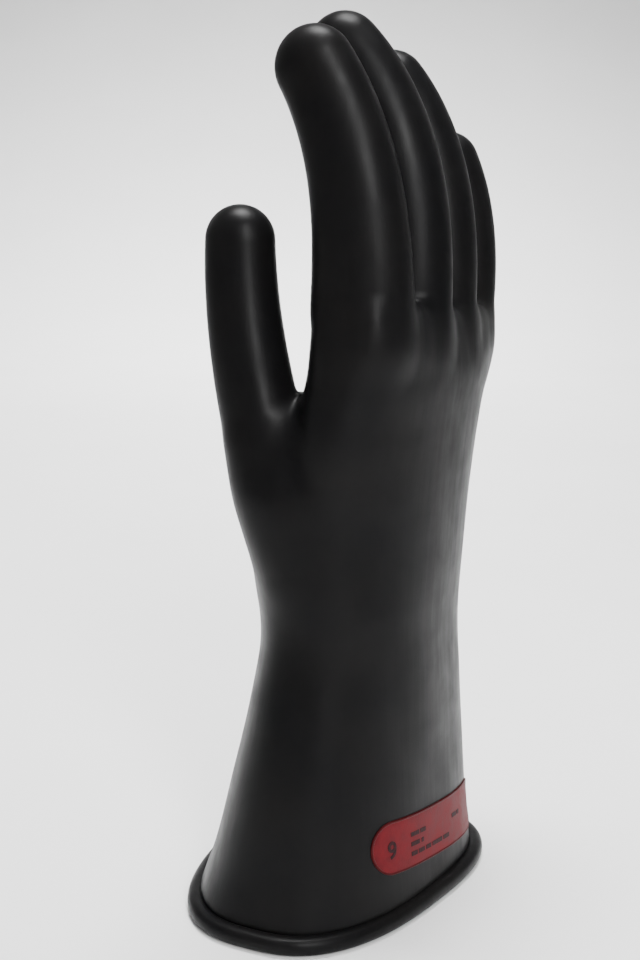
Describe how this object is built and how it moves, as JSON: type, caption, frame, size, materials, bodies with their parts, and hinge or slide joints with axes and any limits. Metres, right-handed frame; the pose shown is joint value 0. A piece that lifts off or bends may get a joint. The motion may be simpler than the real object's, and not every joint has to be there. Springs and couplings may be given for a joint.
{
  "type": "electrical insulating glove",
  "caption": "Black rubber insulating glove with a long flared cuff, a rolled rim and a red label; the wrist, thumb and fingers bend and spring back.",
  "frame": {"origin": "centre of the glove's bounding box at its base, on the plane of the rolled rim", "axes": "+Z from the cuff rim to the fingertips, +X towards the back of the hand (-X is the palm side), -Y towards the thumb side"},
  "size_m": [0.0858, 0.1156, 0.275],
  "materials": {
    "rubber": "satin black dipped natural rubber, smooth, with soft broad highlights",
    "label": "matte red label fused into the rubber",
    "print": "matte dark print on the label"
  },
  "bodies": {
    "cuff": {"cuff_sleeve": "rubber", "cuff_bead": "rubber", "wrist_flex": "rubber", "label_patch": "label", "size_numeral": "print"},
    "hand": {"palm_heel": "rubber", "palm_shell": "rubber", "knuckle_shell": "rubber", "thumb_root": "rubber", "index_root": "rubber", "middle_root": "rubber", "ring_root": "rubber", "little_root": "rubber", "thumb_base_flex": "rubber", "index_base_flex": "rubber", "middle_base_flex": "rubber", "ring_base_flex": "rubber", "little_base_flex": "rubber"},
    "thumb_first": {"thumb_base": "rubber", "thumb_tip_flex": "rubber"},
    "thumb_second": {"thumb_tip": "rubber"},
    "index_first": {"index_base": "rubber", "index_middle_flex": "rubber"},
    "index_second": {"index_middle": "rubber", "index_tip_flex": "rubber"},
    "index_third": {"index_tip": "rubber"},
    "middle_first": {"middle_base": "rubber", "middle_middle_flex": "rubber"},
    "middle_second": {"middle_middle": "rubber", "middle_tip_flex": "rubber"},
    "middle_third": {"middle_tip": "rubber"},
    "ring_first": {"ring_base": "rubber", "ring_middle_flex": "rubber"},
    "ring_second": {"ring_middle": "rubber", "ring_tip_flex": "rubber"},
    "ring_third": {"ring_tip": "rubber"},
    "little_first": {"little_base": "rubber", "little_middle_flex": "rubber"},
    "little_second": {"little_middle": "rubber", "little_tip_flex": "rubber"},
    "little_third": {"little_tip": "rubber"}
  },
  "joints": [
    {"name": "wrist_bend", "type": "hinge", "parent": "cuff", "child": "hand", "pos_m": [0.0079, 0.0068, 0.088], "axis": [0, -1, 0], "range_deg": [-30, 30], "stiffness_Nm_per_rad": 1.5, "deforming": ["wrist_flex"]},
    {"name": "thumb_spread", "type": "hinge", "parent": "hand", "child": "thumb_first", "pos_m": [-0.01294, -0.03249, 0.17895], "axis": [0.9853, 0.087, 0.1469], "range_deg": [-25, 45], "stiffness_Nm_per_rad": 0.15, "deforming": ["thumb_base_flex"]},
    {"name": "thumb_tip_bend", "type": "hinge", "parent": "thumb_first", "child": "thumb_second", "pos_m": [-0.01546, -0.02459, 0.19581], "axis": [0.9942, 0.0873, 0.0634], "range_deg": [-45, 8], "stiffness_Nm_per_rad": 0.08, "deforming": ["thumb_tip_flex"]},
    {"name": "index_base_bend", "type": "hinge", "parent": "hand", "child": "index_first", "pos_m": [0.01428, -0.02912, 0.20515], "axis": [0.0523, -0.9971, -0.0557], "range_deg": [-10, 35], "stiffness_Nm_per_rad": 0.12, "deforming": ["index_base_flex"]},
    {"name": "index_middle_bend", "type": "hinge", "parent": "index_first", "child": "index_second", "pos_m": [0.01351, -0.03036, 0.22664], "axis": [0.0523, -0.9971, -0.0557], "range_deg": [0, 60], "stiffness_Nm_per_rad": 0.08, "deforming": ["index_middle_flex"]},
    {"name": "index_tip_bend", "type": "hinge", "parent": "index_second", "child": "index_third", "pos_m": [0.00912, -0.03164, 0.24536], "axis": [0.0523, -0.9971, -0.0557], "range_deg": [0, 45], "stiffness_Nm_per_rad": 0.05, "deforming": ["index_tip_flex"]},
    {"name": "middle_base_bend", "type": "hinge", "parent": "hand", "child": "middle_first", "pos_m": [0.01747, -0.00343, 0.20417], "axis": [0.007, -1, 0.0017], "range_deg": [-10, 65], "stiffness_Nm_per_rad": 0.12, "deforming": ["middle_base_flex"]},
    {"name": "middle_middle_bend", "type": "hinge", "parent": "middle_first", "child": "middle_second", "pos_m": [0.01556, -0.0034, 0.22811], "axis": [0.007, -1, 0.0017], "range_deg": [0, 60], "stiffness_Nm_per_rad": 0.08, "deforming": ["middle_middle_flex"]},
    {"name": "middle_tip_bend", "type": "hinge", "parent": "middle_second", "child": "middle_third", "pos_m": [0.0086, -0.00342, 0.24759], "axis": [0.007, -1, 0.0017], "range_deg": [0, 45], "stiffness_Nm_per_rad": 0.05, "deforming": ["middle_tip_flex"]},
    {"name": "ring_base_bend", "type": "hinge", "parent": "hand", "child": "ring_first", "pos_m": [0.01678, 0.0214, 0.20266], "axis": [0.0139, -0.9988, 0.0471], "range_deg": [-10, 65], "stiffness_Nm_per_rad": 0.12, "deforming": ["ring_base_flex"]},
    {"name": "ring_middle_bend", "type": "hinge", "parent": "ring_first", "child": "ring_second", "pos_m": [0.01508, 0.02236, 0.22341], "axis": [0.0139, -0.9988, 0.0471], "range_deg": [0, 60], "stiffness_Nm_per_rad": 0.08, "deforming": ["ring_middle_flex"]},
    {"name": "ring_tip_bend", "type": "hinge", "parent": "ring_second", "child": "ring_third", "pos_m": [0.00945, 0.02309, 0.24061], "axis": [0.0139, -0.9988, 0.0471], "range_deg": [0, 45], "stiffness_Nm_per_rad": 0.05, "deforming": ["ring_tip_flex"]},
    {"name": "little_base_bend", "type": "hinge", "parent": "hand", "child": "little_first", "pos_m": [0.01709, 0.04611, 0.19899], "axis": [-0.0139, -0.9951, 0.0976], "range_deg": [-10, 65], "stiffness_Nm_per_rad": 0.1, "deforming": ["little_base_flex"]},
    {"name": "little_middle_bend", "type": "hinge", "parent": "little_first", "child": "little_second", "pos_m": [0.01638, 0.04739, 0.21194], "axis": [-0.0139, -0.9951, 0.0976], "range_deg": [0, 55], "stiffness_Nm_per_rad": 0.06, "deforming": ["little_middle_flex"]},
    {"name": "little_tip_bend", "type": "hinge", "parent": "little_second", "child": "little_third", "pos_m": [0.01369, 0.04861, 0.22399], "axis": [-0.0139, -0.9951, 0.0976], "range_deg": [0, 40], "stiffness_Nm_per_rad": 0.04, "deforming": ["little_tip_flex"]}
  ]
}
